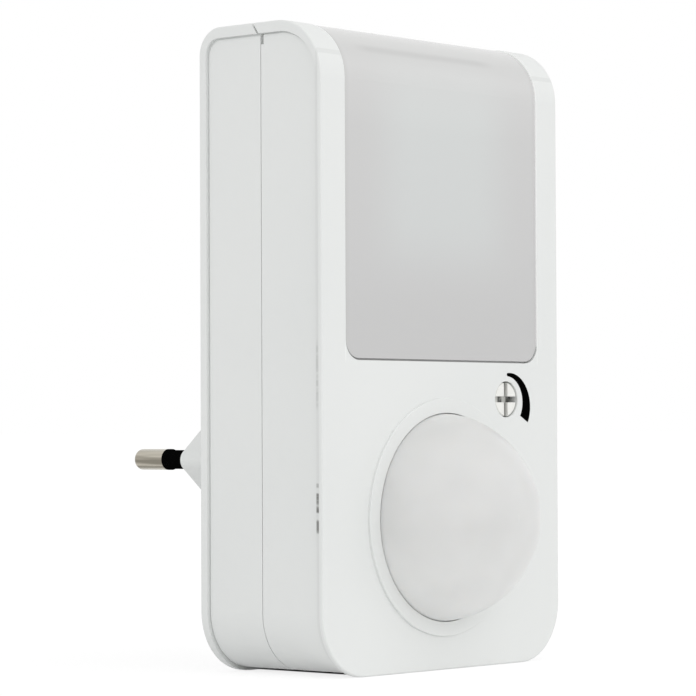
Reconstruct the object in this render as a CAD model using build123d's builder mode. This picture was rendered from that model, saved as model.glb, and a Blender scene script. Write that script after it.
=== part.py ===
"""Plug-in night light with a motion sensor and a twilight dial, for a two-pin wall socket.

Frame: +Z up, the front faces -Y and the plug points along +Y. The origin is the middle of the
plug's end face, between the two pins. Millimetres.

Places are given as a depth, measured forwards from the flat back of the housing, and a height,
measured up from the edge that the light stands on.
"""
import os
from math import asin, cos, degrees, radians, sin, tan

from build123d import *

os.makedirs("parts", exist_ok=True)

# Housing
body_width = 67.0
body_height = 115.0
body_depth = 29.1
bottom_corner = 11.0  # the two bottom corners, seen from the front
rear_corner = 4.9  # the top edge at the back, seen from the side
front_corner = 10.4  # the top edge at the front, seen from the side
flange = 1.7  # at the back, proud of the side panels
rim = 2.0  # top border, as proud as the flange, and the back wall
panel_recess = 0.6
wall = 1.9
edge_round = 0.35
front_shell_depth = 14.6  # front housing and cover together
parting_gap = 0.15
seam = 0.3  # small grooves, chamfers and play
groove_depth = 0.25
notch_width = 0.45  # slanted gap between the mouldings, where the parting line crosses the top border
notch_slant = 1.3
notch_reach = 1.4
pry_slot_width = 0.6  # for a screwdriver's tip, below the notch
pry_slot_height = 1.9
pry_slot_depth = 1.0
cover_thickness = 1.0
bulkhead_thickness = 2.0
roof_thickness = 1.8
fit_gap = 0.1  # between mouldings that locate each other

# Plug
plug_height = 37.7
plug_length = 20.3
plug_width = 35.3
plug_thickness = 13.7
plug_tip_slope = 40.0  # between the sloping sides and the plug's width
plug_tip_round = 2.0
plug_side_round = 1.2
plug_wall = 1.8
plug_end_wall = 3.0
pin_spacing = 18.6
pin_radius = 2.0
pin_length = 19.0
pin_core_radius = 1.4
pin_tip_round = 1.2
pin_tail = 10.5
shoulder_radius = 2.8
shoulder_thickness = 1.5
sleeve_length = 11.2
sleeve_radius = 1.8
sleeve_collar_length = 1.2
carrier_thickness = 5.0
carrier_post_radius = 2.4
carrier_screw_head_radius = 3.4
carrier_screw_grip = 5.8

# Light window
window_side = 6.3  # cover strip beside the window
window_bottom = 55.4
window_corner = 3.6
window_reach = 10.9  # how far it runs back over the top
window_gap = 0.2  # round the pane, at its sides and its back edge
window_low_gap = 0.35
diffuser_sink = 0.15
pane_thickness = 1.8
pane_roof = 2.6
diffuser_rim = 1.5
diffuser_rim_thickness = 1.4

# Motion sensor's lens
lens_height = 27.4
lens_radius = 18.7  # where it comes through the cover
lens_rise = 16.6
lens_wall = 0.8
lens_flange = 1.5
lens_flange_thickness = 1.0
lens_gap = 0.15
lens_seat = 1.5
collar_width = 2.7
collar_rise = 0.5
collar_round = 0.15

# Snap hooks that hold the front cover on the bulkhead
hook_thickness = 1.0
hook_barb = 0.6
hook_width = 5.0
hook_tip = 1.7
hook_side_inset = 7.5
hook_side_height = 40.0
hook_low_x = 12.0
hook_low_gap = 0.6

# Twilight dial
dial_side = 15.65  # from the light's right side
dial_drop = 6.7  # below the window
dial_radius = 3.15
dial_gap = 0.2
dial_sink = 0.15
dial_thickness = 2.0
dial_slot_width = 1.1
dial_slot_depth = 1.5
dial_stem_radius = 1.9
dial_key_radius = 1.1
dial_turn = 135.0  # each way from rest
trimmer_wall = 0.55
trimmer_thickness = 5.0
rotor_radius = 3.4
rotor_thickness = 1.7
rotor_clearance = 0.05
stop_reach = 0.8
stop_nib_width = 1.3
stop_margin = 2.0
trimmer_cap_thickness = 0.6
trimmer_cap_gap = 0.3

# Housing screws and their columns
column_side = 6.2  # from the light's side to the column's middle
column_low = 14.0
column_top = 11.0
column_radius = 4.2
column_cap = 0.4
screw_radius = 1.45
screw_head_radius = 2.8
screw_head_thickness = 2.0
screw_pocket_radius = 3.2
screw_pocket_depth = 8.0
screw_hole_gap = 0.2
screw_grip = 5.2
recess_width = 0.8

# Boards and what they carry
board_thickness = 1.6
board_post_length = 8.0
board_post_radius = 2.8
board_post_side_inset = 3.3
board_post_low_inset = 3.5
board_post_high_inset = 5.0
control_board_side_gap = 0.4  # to the screw columns
control_board_low = 6.5
boards_gap = 5.5
led_board_overhang = 1.5  # past the reflector's base, at each side
led_board_rise = 4.2  # above the window's lower edge
led_board_top_gap = 0.6
board_screw_radius = 1.1
board_screw_head_radius = 2.0
board_screw_head_thickness = 1.4
board_screw_grip = 6.0
board_hole_gap = 0.2

# Reflector
reflector_wall = 1.2
reflector_flange = 1.4
reflector_mouth_inset = 0.2  # inside the window's edges
reflector_top = 12.2  # from the light's top down to the mouth
reflector_side_taper = 8.0
reflector_low_taper = 6.5
reflector_high_taper = 3.1
reflector_lap = 1.6
stake_radius = 1.2
stake_head_radius = 2.0
stake_head_thickness = 0.7
stake_side_inset = 4.0
stake_inset = 4.5
hold_down_radius = 2.6
led_columns = 3
led_rows = 2
led_column_spacing = 12.0
led_row_spacing = 16.0
led_size = 3.5
led_thickness = 0.9
led_window = 5.6

# Motion sensor and light cell, on the front of the control board
sensor_stand = 3.4
sensor_flange_radius = 4.6
sensor_flange_thickness = 0.5
sensor_can_radius = 4.15
sensor_can_height = 4.2
sensor_window_width = 4.4
sensor_window_height = 3.4
sensor_window_thickness = 0.4
lead_radius = 0.25
lead_circle_radius = 2.54
shroud_radius = 6.2
shroud_height = 5.8
shroud_gap = 0.2
cell_x = 9.6
cell_rise = 10.2  # above the sensor's middle
cell_radius = 2.55
cell_flat_width = 4.3
cell_thickness = 2.1
cell_stand = 3.8
cell_lead_spacing = 3.4
chip_length = 9.9
chip_width = 3.9
chip_thickness = 1.6
chip_height = 11.5
chip_leg_spacing = 1.27
chip_legs = 7
chip_leg_reach = 1.0
chip_leg_thickness = 0.5

# Power parts, on the back of the control board
film_capacitor_inset = 15.0  # insets are from the control board's side edge
film_capacitor_height = 14.0
film_capacitor_length = 17.0
film_capacitor_width = 8.5
film_capacitor_rise = 11.5
film_capacitor_round = 0.8
smoothing_gap = 1.0  # to the film capacitor
smoothing_height = 14.0
smoothing_radius = 4.0
smoothing_rise = 11.5
filter_inset = 6.0
filter_height = 20.0
filter_radius = 3.15
filter_rise = 9.0
rectifier_inset = 6.7
rectifier_height = 33.0
rectifier_length = 8.4
rectifier_width = 6.4
rectifier_rise = 3.4
varistor_inset = 6.0
varistor_height = 30.0
varistor_radius = 4.2
varistor_thickness = 3.8
varistor_stand = 1.0
fuse_inset = 15.0
fuse_drop = 4.5  # below the control board's top edge
fuse_radius = 1.9
fuse_length = 9.0
fuse_lead_reach = 2.0
fuse_lead_radius = 0.35

# Wires
wire_radius = 0.85
wire_bend = 4.0
wire_step_depth = 5.0
wire_drop = 11.0  # below the control board's top edge
link_wire_radius = 0.6
link_wire_bend = 1.5
link_wire_rise = 3.0
link_wire_x = 6.5
link_wire_spacing = 3.0
link_wire_inset = 2.0

half_width = body_width / 2
inner_inset = panel_recess + wall
parting_depth = body_depth - front_shell_depth
cover_back_depth = body_depth - cover_thickness
bulkhead_back_depth = cover_back_depth - bulkhead_thickness
core_front_corner = front_corner - (rim + cover_thickness) / 2
window_half = half_width - window_side
window_rear_depth = body_depth - window_reach
middle_height = body_height / 2
room = body_height * 2  # larger than the whole light, for cutting blocks
lens_sphere = (lens_radius**2 + lens_rise**2) / (2 * lens_rise)
lens_centre_depth = body_depth + lens_rise - lens_sphere
lens_flange_depth = cover_back_depth - lens_flange_thickness
lens_view_radius = lens_radius - lens_seat
collar_radius = lens_radius + collar_width
dial_x = half_width - dial_side
dial_height = window_bottom - dial_drop
column_x = half_width - column_side
column_high = body_height - column_top
column_middle = (column_low + column_high) / 2
column_spread = column_high - column_low
high_column_end = parting_depth + screw_grip + column_cap

reflector_mouth_half = window_half - reflector_mouth_inset
reflector_mouth_low = window_bottom + reflector_mouth_inset
reflector_mouth_high = body_height - reflector_top
reflector_base_half = reflector_mouth_half - reflector_side_taper
reflector_base_low = reflector_mouth_low + reflector_low_taper
reflector_base_high = reflector_mouth_high - reflector_high_taper

board_front_depth = bulkhead_back_depth - board_post_length
board_rear_depth = board_front_depth - board_thickness
led_board_half = reflector_base_half + led_board_overhang
led_board_low = window_bottom + led_board_rise
led_board_high = reflector_mouth_high - led_board_top_gap
led_board_middle = (led_board_low + led_board_high) / 2
stake_x = led_board_half - stake_side_inset
stake_spread = led_board_high - led_board_low - 2 * stake_inset
control_board_half = column_x - column_radius - control_board_side_gap
control_board_high = led_board_low - boards_gap


def at_y(depth):
    """Y of a depth, measured forwards from the flat back."""
    return -plug_length - depth


def at_z(height):
    """Z of a height, measured up from the edge that the light stands on."""
    return height - plug_height


def facing_plane(depth, x=0.0, height=plug_height):
    """Sketch plane across the light at a depth; extruding from it goes towards the front."""
    return Plane(origin=(x, at_y(depth), at_z(height)), x_dir=(1, 0, 0), z_dir=(0, -1, 0))


def moulded_form(rear, front, low, high, half, rear_round, front_round, corner):
    """Block in the light's own shape: rounded top edges and rounded bottom corners."""
    with BuildPart() as form:
        with Locations((0, at_y((rear + front) / 2), at_z((low + high) / 2))):
            Box(2 * half, front - rear, high - low)
        fillet(form.edges().filter_by(Axis.X).group_by(Axis.Z)[-1].sort_by(Axis.Y)[0], front_round)
        fillet(form.edges().filter_by(Axis.X).group_by(Axis.Z)[-1].sort_by(Axis.Y)[-1], rear_round)
        fillet(form.edges().filter_by(Axis.Y).group_by(Axis.Z)[0], corner)
    return form.part


def slab(rear, front):
    """Block across the whole light between two depths."""
    with BuildPart() as block:
        with Locations((0, at_y((rear + front) / 2), at_z(middle_height))):
            Box(room, front - rear, room)
    return block.part


def front_view_block(half, low, corner, rear, front):
    """Block with an upright outline, round at its two bottom corners and open above the light."""
    high = body_height + rim
    with BuildPart() as block:
        with BuildSketch(facing_plane(rear, 0, (low + high) / 2)) as outline:
            Rectangle(2 * half, high - low)
            fillet(outline.vertices().group_by(Axis.Y)[0], corner)
        extrude(amount=front - rear)
    return block.part


def window_block(margin, front=body_depth + 1):
    """Block in the outline of the light window, grown by a margin; it runs up over the top."""
    return front_view_block(
        window_half + margin,
        window_bottom - margin,
        window_corner + margin,
        window_rear_depth - margin,
        front,
    )


# The whole outside, with every outline edge softly rounded
with BuildPart() as outside:
    add(moulded_form(0, body_depth, 0, body_height, half_width, rear_corner, front_corner, bottom_corner))
    ends = outside.faces().filter_by(Axis.Y).edges()
    fillet(ends.filter_by(Axis.Z) + ends.filter_by(GeomType.CIRCLE), edge_round)
outer_form = outside.part


def panel_form(margin):
    """Side-view outline of the recessed side panels, drawn in by a margin, right across the light."""
    return moulded_form(
        flange + margin,
        cover_back_depth - margin,
        -rim,
        body_height - rim - margin,
        half_width + rim,
        rear_corner - rim,
        core_front_corner,
        rim / 2,
    )


def inner_block(inset):
    """Everything further in than an inset from the two sides and the bottom."""
    return front_view_block(half_width - inset, inset, bottom_corner - inset, -1, body_depth + 1)


# What is cut from the outside to sink the side panels, and the fine groove round each of them
with BuildPart() as panel_cut:
    add(panel_form(0))
    add(inner_block(panel_recess), mode=Mode.SUBTRACT)
with BuildPart() as groove_cut:
    add(panel_form(0))
    add(panel_form(seam), mode=Mode.SUBTRACT)
    add(inner_block(panel_recess + groove_depth), mode=Mode.SUBTRACT)

rear_cavity = moulded_form(
    rim,
    body_depth,
    inner_inset,
    body_height - rim,
    half_width - inner_inset,
    rear_corner - rim,
    core_front_corner,
    bottom_corner - inner_inset,
)
front_cavity = moulded_form(
    0,
    bulkhead_back_depth,
    inner_inset,
    body_height - rim - roof_thickness,
    half_width - inner_inset,
    rear_corner,
    core_front_corner - roof_thickness,
    bottom_corner - inner_inset,
)


def lip_band(outer_inset, front):
    """Thin U along the two side walls and the bottom, where the two housings lap."""
    with BuildPart() as band:
        add(front_view_block(half_width - outer_inset, outer_inset, bottom_corner - outer_inset,
                             parting_depth - rim, front))
        add(inner_block(inner_inset), mode=Mode.SUBTRACT)
        with Locations((0, at_y(parting_depth), at_z(body_height))):
            Box(room, room, 4 * rim, mode=Mode.SUBTRACT)
    return band.part


def plug_sketch(inset):
    """Six-sided plug outline with rounded, pointed ends, drawn in by an inset."""
    slope = radians(plug_tip_slope)
    sharp_half = plug_width / 2 + plug_tip_round * (1 / sin(slope) - 1)
    half_thick = plug_thickness / 2
    flat_half = sharp_half - half_thick / tan(slope)
    with BuildSketch(mode=Mode.PRIVATE) as outline:
        with BuildLine():
            Polyline(
                (flat_half, half_thick),
                (sharp_half, 0),
                (flat_half, -half_thick),
                (-flat_half, -half_thick),
                (-sharp_half, 0),
                (-flat_half, half_thick),
                close=True,
            )
        make_face()
        tips = outline.vertices().sort_by(Axis.X)
        fillet([tips[0], tips[-1]], plug_tip_round)
        corners = outline.vertices().group_by(Axis.Y)
        fillet(corners[0] + corners[-1], plug_side_round)
        if inset:
            offset(amount=-inset, kind=Kind.INTERSECTION, mode=Mode.REPLACE)
    return outline.sketch


def notch_block(back, reach):
    """Two wedges in the top border, slanted at the back, that reach inwards from the sides."""
    with BuildPart() as wedges:
        for side in (-1, 1):
            with BuildSketch(Plane.YZ.offset(side * half_width)):
                with BuildLine():
                    Polyline(
                        (at_y(parting_depth + parting_gap), at_z(body_height - rim)),
                        (at_y(parting_depth - back), at_z(body_height - rim)),
                        (at_y(parting_depth - back - 2 * notch_slant), at_z(body_height + rim)),
                        (at_y(parting_depth + parting_gap), at_z(body_height + rim)),
                        close=True,
                    )
                make_face()
            extrude(amount=reach, both=True)
    return wedges.part


# Rear housing: back shell with the hollow plug, screw columns and the hold-down posts
lip_inset = inner_inset - wall / 2
lip_reach = 1.6
with BuildPart() as rear_housing:
    add(outer_form)
    add(slab(-1, parting_depth - parting_gap / 2), mode=Mode.INTERSECT)
    add(panel_cut.part, mode=Mode.SUBTRACT)
    add(groove_cut.part, mode=Mode.SUBTRACT)
    add(rear_cavity, mode=Mode.SUBTRACT)
    add(lip_band(lip_inset, parting_depth + lip_reach))
    add(notch_block(notch_width, notch_reach), mode=Mode.SUBTRACT)
    with BuildSketch(facing_plane(-plug_length)):
        add(plug_sketch(0))
    extrude(amount=plug_length + rim)
    with BuildSketch(facing_plane(plug_end_wall - plug_length)):
        add(plug_sketch(plug_wall))
    extrude(amount=plug_length + rim - plug_end_wall, mode=Mode.SUBTRACT)
    with BuildSketch(facing_plane(-plug_length)):
        with GridLocations(pin_spacing, 0, 2, 1):
            Circle(sleeve_radius)
    extrude(amount=plug_end_wall, mode=Mode.SUBTRACT)
    post_end = plug_end_wall + shoulder_thickness + carrier_thickness
    with BuildSketch(facing_plane(plug_end_wall - plug_length)):
        Circle(carrier_post_radius)
    extrude(amount=post_end - plug_end_wall - fit_gap)
    with BuildSketch(facing_plane(plug_end_wall - plug_length)):
        Circle(board_screw_radius)
    extrude(amount=post_end - plug_end_wall, mode=Mode.SUBTRACT)
    with BuildSketch(facing_plane(rim, 0, column_middle)):
        with GridLocations(2 * column_x, column_spread, 2, 2):
            Circle(column_radius)
    extrude(amount=parting_depth - rim)
    with BuildSketch(facing_plane(0, 0, column_middle)):
        with GridLocations(2 * column_x, column_spread, 2, 2):
            Circle(screw_radius + screw_hole_gap)
    extrude(amount=parting_depth, mode=Mode.SUBTRACT)
    with BuildSketch(facing_plane(0, 0, column_middle)):
        with GridLocations(2 * column_x, column_spread, 2, 2):
            Circle(screw_pocket_radius)
    extrude(amount=screw_pocket_depth, mode=Mode.SUBTRACT)
    with BuildSketch(facing_plane(rim, 0, led_board_middle)):
        with GridLocations(0, stake_spread, 1, 2):
            Circle(hold_down_radius)
    extrude(amount=board_rear_depth - rim)
rear_housing.part.label = "rear_housing"
export_step(rear_housing.part, "parts/rear_housing.step")

# Sketch planes of the cover's four hooks: sideways towards the barb, then backwards
hook_planes = [
    Plane(
        origin=(side * (half_width - hook_side_inset), at_y(cover_back_depth), at_z(hook_side_height)),
        x_dir=(side, 0, 0),
        z_dir=(0, 0, side),
    )
    for side in (-1, 1)
]
hook_planes += [
    Plane(
        origin=(side * hook_low_x, at_y(cover_back_depth), at_z(inner_inset + hook_low_gap)),
        x_dir=(0, 0, 1),
        z_dir=(-1, 0, 0),
    )
    for side in (-1, 1)
]

# Front housing: middle shell with the bulkhead that carries the lens, the boards and the window
with BuildPart() as front_housing:
    add(
        moulded_form(
            rim,
            cover_back_depth,
            panel_recess,
            body_height - rim,
            half_width - panel_recess,
            rear_corner - rim,
            core_front_corner,
            bottom_corner - panel_recess,
        )
    )
    add(slab(parting_depth + parting_gap / 2, body_depth), mode=Mode.INTERSECT)
    outline_edges = front_housing.faces().sort_by(Axis.Y)[0].edges().filter_by(Axis.Z)
    chamfer(outline_edges, seam)
    add(front_cavity, mode=Mode.SUBTRACT)
    # columns for the housing screws, the high ones short to clear the reflector
    with BuildSketch(facing_plane(parting_depth, 0, column_low)):
        with GridLocations(2 * column_x, 0, 2, 1):
            Circle(column_radius)
    extrude(amount=bulkhead_back_depth - parting_depth)
    with BuildSketch(facing_plane(parting_depth, 0, column_high)):
        with GridLocations(2 * column_x, 0, 2, 1):
            Circle(column_radius)
    extrude(amount=high_column_end - parting_depth)
    # rebate that takes the rear housing's lip
    add(lip_band(lip_inset - fit_gap, parting_depth + lip_reach + seam), mode=Mode.SUBTRACT)
    with BuildSketch(facing_plane(parting_depth, 0, column_middle)):
        with GridLocations(2 * column_x, column_spread, 2, 2):
            Circle(screw_radius)
    extrude(amount=screw_grip, mode=Mode.SUBTRACT)
    # posts for the control board
    board_post_x = control_board_half - board_post_side_inset
    board_posts = [
        (-board_post_x, at_z(control_board_high - board_post_high_inset)),
        (-board_post_x, at_z(control_board_low + board_post_low_inset)),
        (board_post_x, at_z(control_board_low + board_post_low_inset)),
    ]
    with BuildSketch(facing_plane(board_front_depth)):
        with Locations(*board_posts):
            Circle(board_post_radius)
    extrude(amount=bulkhead_back_depth - board_front_depth)
    with BuildSketch(facing_plane(board_front_depth)):
        with Locations(*board_posts):
            Circle(board_screw_radius)
    extrude(amount=board_screw_grip, mode=Mode.SUBTRACT)
    # openings for the window, the lens, the dial and the cover's hooks
    add(window_block(diffuser_rim + fit_gap), mode=Mode.SUBTRACT)
    with BuildSketch(facing_plane(bulkhead_back_depth, 0, lens_height)):
        Circle(lens_view_radius)
    extrude(amount=bulkhead_thickness, mode=Mode.SUBTRACT)
    with BuildSketch(facing_plane(lens_flange_depth, 0, lens_height)):
        Circle(lens_radius + lens_flange + lens_gap)
    extrude(amount=lens_flange_thickness, mode=Mode.SUBTRACT)
    with BuildSketch(facing_plane(bulkhead_back_depth, dial_x, dial_height)):
        Circle(dial_radius + dial_gap)
    extrude(amount=bulkhead_thickness, mode=Mode.SUBTRACT)
    for hook_plane in hook_planes:
        with BuildSketch(hook_plane):
            with Locations((hook_thickness / 2, bulkhead_thickness / 2)):
                Rectangle(hook_thickness + 2 * seam, bulkhead_thickness)
        extrude(amount=hook_width / 2 + seam, both=True, mode=Mode.SUBTRACT)
    # pry slots in both sides
    pry_middle_depth = parting_depth + (parting_gap + pry_slot_width) / 2
    pry_middle_height = body_height - rim - pry_slot_height / 2
    with Locations((0, at_y(pry_middle_depth), at_z(pry_middle_height))):
        with GridLocations(2 * (half_width - panel_recess), 0, 2, 1):
            Box(2 * pry_slot_depth, pry_slot_width, pry_slot_height, mode=Mode.SUBTRACT)
front_housing.part.label = "front_housing"
export_step(front_housing.part, "parts/front_housing.step")


# Front cover: one moulding over the front and the top, with the lens collar and four snap hooks
with BuildPart() as cover_tongues:
    add(notch_block(0, notch_reach - fit_gap))
    add(outer_form, mode=Mode.INTERSECT)
with BuildPart() as front_cover:
    add(outer_form)
    add(slab(parting_depth + parting_gap / 2, body_depth + 1), mode=Mode.INTERSECT)
    add(cover_tongues.part)
    add(panel_form(0), mode=Mode.SUBTRACT)
    add(window_block(0), mode=Mode.SUBTRACT)
    with BuildSketch(facing_plane(cover_back_depth, 0, lens_height)):
        Circle(collar_radius)
    extrude(amount=cover_thickness + collar_rise)
    fillet(front_cover.faces().sort_by(Axis.Y)[0].edges(), collar_round)
    with Locations((0, at_y(lens_centre_depth), at_z(lens_height))):
        Sphere(lens_sphere + lens_gap, mode=Mode.SUBTRACT)
    with BuildSketch(facing_plane(cover_back_depth, dial_x, dial_height)):
        Circle(dial_radius + dial_gap)
    extrude(amount=cover_thickness, mode=Mode.SUBTRACT)
    for hook_plane in hook_planes:
        barb_start = bulkhead_thickness + fit_gap
        with BuildSketch(hook_plane):
            with BuildLine():
                Polyline(
                    (0, 0),
                    (hook_thickness, 0),
                    (hook_thickness, barb_start),
                    (hook_thickness + hook_barb, barb_start + fit_gap),
                    (hook_thickness, barb_start + hook_tip),
                    (0, barb_start + hook_tip),
                    close=True,
                )
            make_face()
        extrude(amount=hook_width / 2, both=True)
front_cover.part.label = "front_cover"
export_step(front_cover.part, "parts/front_cover.step")


def curved_form(front_inset, top_inset):
    """The light's own side outline, drawn in from the front and from the top."""
    return moulded_form(
        0,
        body_depth - front_inset,
        0,
        body_height - top_inset,
        half_width,
        rear_corner,
        front_corner - (front_inset + top_inset) / 2,
        rim,
    )


# Light diffuser: milky pane that bends over the top, with a rim that the reflector holds
with BuildPart() as diffuser_pane:
    add(curved_form(diffuser_sink, diffuser_sink))
    add(
        front_view_block(
            window_half - window_gap,
            window_bottom + window_low_gap,
            window_corner - window_gap,
            window_rear_depth + window_gap,
            body_depth + 1,
        ),
        mode=Mode.INTERSECT,
    )
with BuildPart() as diffuser_rim_block:
    add(curved_form(cover_thickness, rim))
    add(window_block(diffuser_rim), mode=Mode.INTERSECT)
with BuildPart() as diffuser_hollow:
    add(curved_form(pane_thickness, pane_roof))
    add(window_block(-diffuser_rim_thickness), mode=Mode.INTERSECT)
with BuildPart() as light_diffuser:
    add(diffuser_pane.part)
    add(diffuser_rim_block.part)
    add(
        curved_form(cover_thickness + diffuser_rim_thickness, rim + diffuser_rim_thickness),
        mode=Mode.SUBTRACT,
    )
    add(diffuser_hollow.part, mode=Mode.SUBTRACT)
light_diffuser.part.label = "light_diffuser"
export_step(light_diffuser.part, "parts/light_diffuser.step")

# Lens dome: thin, almost half a ball, held by its flange between the cover and the bulkhead
lens_inner = lens_sphere - lens_wall
flange_outer = lens_radius + lens_flange
with BuildPart() as lens_dome:
    with BuildSketch(Plane.YZ):
        with Locations((at_y(lens_centre_depth), at_z(lens_height))):
            Circle(lens_sphere)
            Circle(lens_inner, mode=Mode.SUBTRACT)
        with Locations((at_y(lens_flange_depth) + room / 2, at_z(lens_height))):
            Rectangle(room, room, mode=Mode.SUBTRACT)
        flange_middle_depth = lens_flange_depth + lens_flange_thickness / 2
        with Locations((at_y(flange_middle_depth), at_z(lens_height) + (lens_inner + flange_outer) / 2)):
            Rectangle(lens_flange_thickness, flange_outer - lens_inner)
        with Locations((at_y(body_depth), at_z(lens_height) - room / 2)):
            Rectangle(room, room, mode=Mode.SUBTRACT)
    revolve(axis=Axis((0, 0, at_z(lens_height)), (0, -1, 0)))
lens_dome.part.label = "lens_dome"
export_step(lens_dome.part, "parts/lens_dome.step")

# Twilight dial: slotted head in the cover, stem through the bulkhead, key in the trimmer's rotor
trimmer_front_depth = board_front_depth + trimmer_thickness
rotor_back_depth = trimmer_front_depth - rotor_thickness - 2 * rotor_clearance
rotor_front_depth = rotor_back_depth + rotor_thickness
dial_front_depth = body_depth - dial_sink
with BuildPart() as twilight_dial:
    with BuildSketch(facing_plane(dial_front_depth - dial_thickness, dial_x, dial_height)):
        Circle(dial_radius)
    extrude(amount=dial_thickness)
    chamfer(twilight_dial.faces().sort_by(Axis.Y)[0].edges(), fit_gap * 2)
    with BuildSketch(facing_plane(dial_front_depth - dial_slot_depth, dial_x, dial_height)):
        Rectangle(2 * dial_radius, dial_slot_width)
        Rectangle(dial_slot_width, 2 * dial_radius)
    extrude(amount=dial_slot_depth, mode=Mode.SUBTRACT)
    with BuildSketch(facing_plane(rotor_front_depth, dial_x, dial_height)):
        Circle(dial_stem_radius)
    extrude(amount=dial_front_depth - dial_thickness - rotor_front_depth)
    with BuildSketch(facing_plane(rotor_back_depth, dial_x, dial_height)):
        Circle(dial_key_radius)
    extrude(amount=rotor_thickness)
twilight_dial.part.label = "twilight_dial"
export_step(twilight_dial.part, "parts/twilight_dial.step")

# Trimmer: a rotor whose nib runs between two stops in the moulded body, under a thin cap
with BuildPart() as trimmer_rotor:
    with BuildSketch(facing_plane(rotor_back_depth, dial_x, dial_height)):
        Circle(rotor_radius)
        with Locations((0, (rotor_radius + stop_reach) / 2)):
            Rectangle(stop_nib_width, rotor_radius + stop_reach)
        Circle(dial_key_radius, mode=Mode.SUBTRACT)
    extrude(amount=rotor_thickness)
trimmer_rotor.part.label = "trimmer_rotor"
export_step(trimmer_rotor.part, "parts/trimmer_rotor.step")

# Half the angle that the stop block fills, opposite the nib at rest
nib_half_angle = degrees(asin(stop_nib_width / 2 / rotor_radius))
stop_half_angle = radians(180 - dial_turn - nib_half_angle - stop_margin)
rotor_well = rotor_radius + rotor_clearance
trimmer_size = 2 * (rotor_well + stop_reach + trimmer_wall)
with BuildPart() as trimmer_body:
    with BuildSketch(facing_plane(board_front_depth, dial_x, dial_height)):
        Rectangle(trimmer_size, trimmer_size)
    extrude(amount=trimmer_thickness)
    with BuildSketch(facing_plane(rotor_back_depth - rotor_clearance, dial_x, dial_height)):
        Circle(rotor_well + stop_reach)
        with BuildLine():
            Polyline(
                (0, 0),
                (-trimmer_size * sin(stop_half_angle), -trimmer_size * cos(stop_half_angle)),
                (trimmer_size * sin(stop_half_angle), -trimmer_size * cos(stop_half_angle)),
                close=True,
            )
        make_face(mode=Mode.SUBTRACT)
        Circle(rotor_well)
    extrude(amount=trimmer_thickness, mode=Mode.SUBTRACT)
trimmer_body.part.label = "trimmer_body"
export_step(trimmer_body.part, "parts/trimmer_body.step")

with BuildPart() as trimmer_cap:
    with BuildSketch(facing_plane(trimmer_front_depth, dial_x, dial_height)):
        Rectangle(trimmer_size, trimmer_size)
        Circle(dial_stem_radius + trimmer_cap_gap, mode=Mode.SUBTRACT)
    extrude(amount=trimmer_cap_thickness)
trimmer_cap.part.label = "trimmer_cap"
export_step(trimmer_cap.part, "parts/trimmer_cap.step")

# Plug pins: turned brass, thinner under the sleeve, with a shoulder behind the plug's end wall
shoulder_back_depth = plug_end_wall + shoulder_thickness - plug_length
for side, name in ((-1, "live"), (1, "neutral")):
    pin_x = side * pin_spacing / 2
    pin_sketch_plane = Plane(origin=(pin_x, 0, 0), x_dir=(1, 0, 0), z_dir=(0, 0, 1))
    pin_axis = Axis((pin_x, 0, 0), (0, 1, 0))
    with BuildPart() as plug_pin:
        with BuildSketch(pin_sketch_plane):
            with BuildLine():
                Polyline(
                    (0, -pin_tail),
                    (pin_core_radius, -pin_tail),
                    (pin_core_radius, -plug_end_wall - shoulder_thickness),
                    (shoulder_radius, -plug_end_wall - shoulder_thickness),
                    (shoulder_radius, -plug_end_wall),
                    (pin_core_radius, -plug_end_wall),
                    (pin_core_radius, sleeve_length),
                    (pin_radius, sleeve_length),
                    (pin_radius, pin_length),
                    (0, pin_length),
                    close=True,
                )
            make_face()
        revolve(axis=pin_axis)
        fillet(plug_pin.faces().sort_by(Axis.Y)[-1].edges(), pin_tip_round)
    plug_pin.part.label = name + "_pin"
    export_step(plug_pin.part, "parts/" + name + "_pin.step")

    with BuildPart() as pin_sleeve:
        with BuildSketch(pin_sketch_plane):
            with BuildLine():
                Polyline(
                    (pin_core_radius, -plug_end_wall),
                    (sleeve_radius, -plug_end_wall),
                    (sleeve_radius, sleeve_length - sleeve_collar_length),
                    (pin_radius, sleeve_length - sleeve_collar_length + pin_radius - sleeve_radius),
                    (pin_radius, sleeve_length),
                    (pin_core_radius, sleeve_length),
                    close=True,
                )
            make_face()
        revolve(axis=pin_axis)
    pin_sleeve.part.label = name + "_pin_sleeve"
    export_step(pin_sleeve.part, "parts/" + name + "_pin_sleeve.step")

    # lead from the pin's tail forwards through the plug, stepping up to the control board
    wire_end_height = control_board_high - wire_drop
    with BuildPart() as wire:
        with BuildLine() as route:
            FilletPolyline(
                (pin_x, -pin_tail, 0),
                (pin_x, at_y(wire_step_depth), 0),
                (pin_x, at_y(board_rear_depth - wire_bend), at_z(wire_end_height)),
                (pin_x, at_y(board_rear_depth), at_z(wire_end_height)),
                radius=wire_bend,
            )
        with BuildSketch(Plane(origin=(pin_x, -pin_tail, 0), z_dir=(0, -1, 0))):
            Circle(wire_radius)
        sweep(path=route.wire())
    wire.part.label = name + "_wire"
    export_step(wire.part, "parts/" + name + "_wire.step")

# Pin carrier: block inside the plug that clamps the pins' shoulders to its end wall
with BuildPart() as pin_carrier:
    with BuildSketch(facing_plane(shoulder_back_depth)):
        add(plug_sketch(plug_wall + fit_gap))
        with GridLocations(pin_spacing, 0, 2, 1):
            Circle(pin_core_radius, mode=Mode.SUBTRACT)
        Circle(carrier_post_radius + fit_gap, mode=Mode.SUBTRACT)
    extrude(amount=carrier_thickness)
pin_carrier.part.label = "pin_carrier"
export_step(pin_carrier.part, "parts/pin_carrier.step")


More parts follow.
